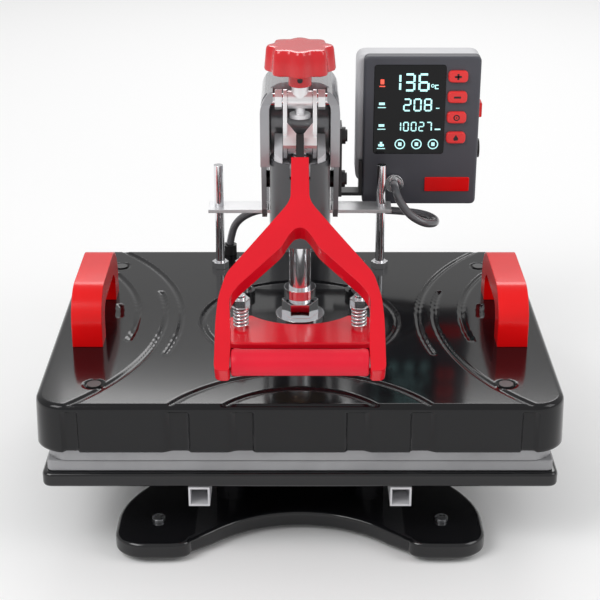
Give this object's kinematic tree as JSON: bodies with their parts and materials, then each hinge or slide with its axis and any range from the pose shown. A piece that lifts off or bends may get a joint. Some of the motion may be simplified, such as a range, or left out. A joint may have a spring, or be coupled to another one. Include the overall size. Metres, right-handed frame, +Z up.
{
  "type": "heat press",
  "caption": "Swing-away heat press with a padded tray, a covered heating plate on a toggle head with a hand lever, a pressure knob and a digital control box.",
  "frame": {"origin": "on the floor, under the platen's centre, at the middle foot", "axes": "+X to the operator's right, -Y towards the operator, +Z up"},
  "size_m": [0.395, 0.4459, 0.363],
  "materials": {
    "gloss_black": "gloss black enamel",
    "alloy_black": "gloss black enamel",
    "black_plastic": "gloss black moulding",
    "rubber_black": "matt rubber",
    "silicone_grey": "matt silicone",
    "steel": "bright zinc plate",
    "chrome": "polished chrome",
    "aluminium": "machined",
    "grey_metal": "satin grey enamel",
    "dark_grey_metal": "satin dark grey enamel",
    "light_grey_metal": "satin light grey",
    "bronze": "sintered bronze",
    "black_steel": "black oxide",
    "slate_plastic": "satin slate grey",
    "board_green": "circuit board",
    "screen": "gloss black window",
    "red_plastic": "gloss red",
    "red_paint": "satin red enamel",
    "grip_red": "satin red sleeve",
    "insulation": "fibre board",
    "lead_grey": "grey flexible sheath"
  },
  "bodies": {
    "base": {"base_plate": "gloss_black", "rubber_feet": "rubber_black", "foot_screws": "steel", "swing_post": "steel", "post_bolts": "steel", "tray_posts": "gloss_black", "tray_rails": "steel", "lower_tray": "alloy_black", "silicone_pad": "silicone_grey"},
    "arm": {"column_sleeve": "grey_metal", "arm_shell": "grey_metal", "head_hood": "grey_metal", "side_plates": "grey_metal", "frame_bolts": "black_steel", "guide_tube": "dark_grey_metal", "shaft_bush": "bronze", "tube_cap": "light_grey_metal", "guide_bar": "chrome", "pivot_block": "chrome", "pivot_pin": "chrome", "pivot_nuts": "chrome", "box_bracket": "black_steel", "control_box_front": "slate_plastic", "control_box_rear": "slate_plastic", "circuit_board": "board_green", "display_window": "screen", "badge": "red_plastic", "cable_gland": "chrome", "power_inlet": "black_plastic", "heater_lead": "lead_grey"},
    "heater": {"heating_plate": "aluminium", "insulation_board": "insulation", "heater_cover": "black_plastic", "cover_screws": "black_steel", "side_handles": "red_plastic", "handle_screws": "steel", "pressure_plate": "gloss_black", "spring_yoke": "red_paint", "spring_bolts": "chrome", "springs": "chrome", "press_shaft": "chrome", "shaft_nut": "chrome", "clevis_pin": "steel", "guide_rods": "chrome", "guide_rod_nuts": "chrome", "lead_strain_relief": "black_plastic"},
    "lever": {"lever_frame": "red_paint", "lever_grip": "grip_red", "grip_rod": "steel", "lever_fork": "chrome", "lever_tang": "black_steel"},
    "link": {"toggle_link": "steel", "crank_pin": "steel"},
    "knob": {"pressure_knob": "red_plastic", "adjusting_screw": "black_steel"},
    "button_plus": {"button_plus": "red_plastic"},
    "button_minus": {"button_minus": "red_plastic"},
    "button_set": {"button_set": "red_plastic"},
    "button_mode": {"button_mode": "red_plastic"},
    "power_switch": {"power_switch": "red_plastic"}
  },
  "joints": [
    {"name": "arm_swing", "type": "hinge", "parent": "base", "child": "arm", "pos_m": [0, 0.205, 0], "axis": [0, 0, 1], "range_deg": [-110, 110]},
    {"name": "platen_lift", "type": "slide", "parent": "arm", "child": "heater", "axis": [0, 0, 1], "range_m": [0, 0.0399], "deforming": ["heater_lead"]},
    {"name": "lever_turn", "type": "hinge", "parent": "arm", "child": "lever", "pos_m": [0, 0, 0.32], "axis": [-1, 0, 0], "range_deg": [0, 69]},
    {"name": "link_turn", "type": "hinge", "parent": "heater", "child": "link", "pos_m": [0, 0, 0.224], "axis": [1, 0, 0], "range_deg": [0, 42]},
    {"name": "knob_turn", "type": "hinge", "parent": "arm", "child": "knob", "pos_m": [0, 0, 0.343], "axis": [0, 0, 1], "range_deg": [-360, 360]},
    {"name": "press_plus", "type": "slide", "parent": "arm", "child": "button_plus", "axis": [0, 1, 0], "range_m": [0, 0.0015], "stiffness_N_per_m": 300},
    {"name": "press_minus", "type": "slide", "parent": "arm", "child": "button_minus", "axis": [0, 1, 0], "range_m": [0, 0.0015], "stiffness_N_per_m": 300},
    {"name": "press_set", "type": "slide", "parent": "arm", "child": "button_set", "axis": [0, 1, 0], "range_m": [0, 0.0015], "stiffness_N_per_m": 300},
    {"name": "press_mode", "type": "slide", "parent": "arm", "child": "button_mode", "axis": [0, 1, 0], "range_m": [0, 0.0015], "stiffness_N_per_m": 300},
    {"name": "switch_rock", "type": "hinge", "parent": "arm", "child": "power_switch", "pos_m": [0.156, 0.1577, 0.267], "axis": [0, 1, 0], "range_deg": [-6, 6]}
  ],
  "couplings": [
    {"joint": "lever_turn", "follows": "platen_lift", "rad_per_m": 30.18},
    {"joint": "link_turn", "follows": "platen_lift", "rad_per_m": 18.28}
  ]
}
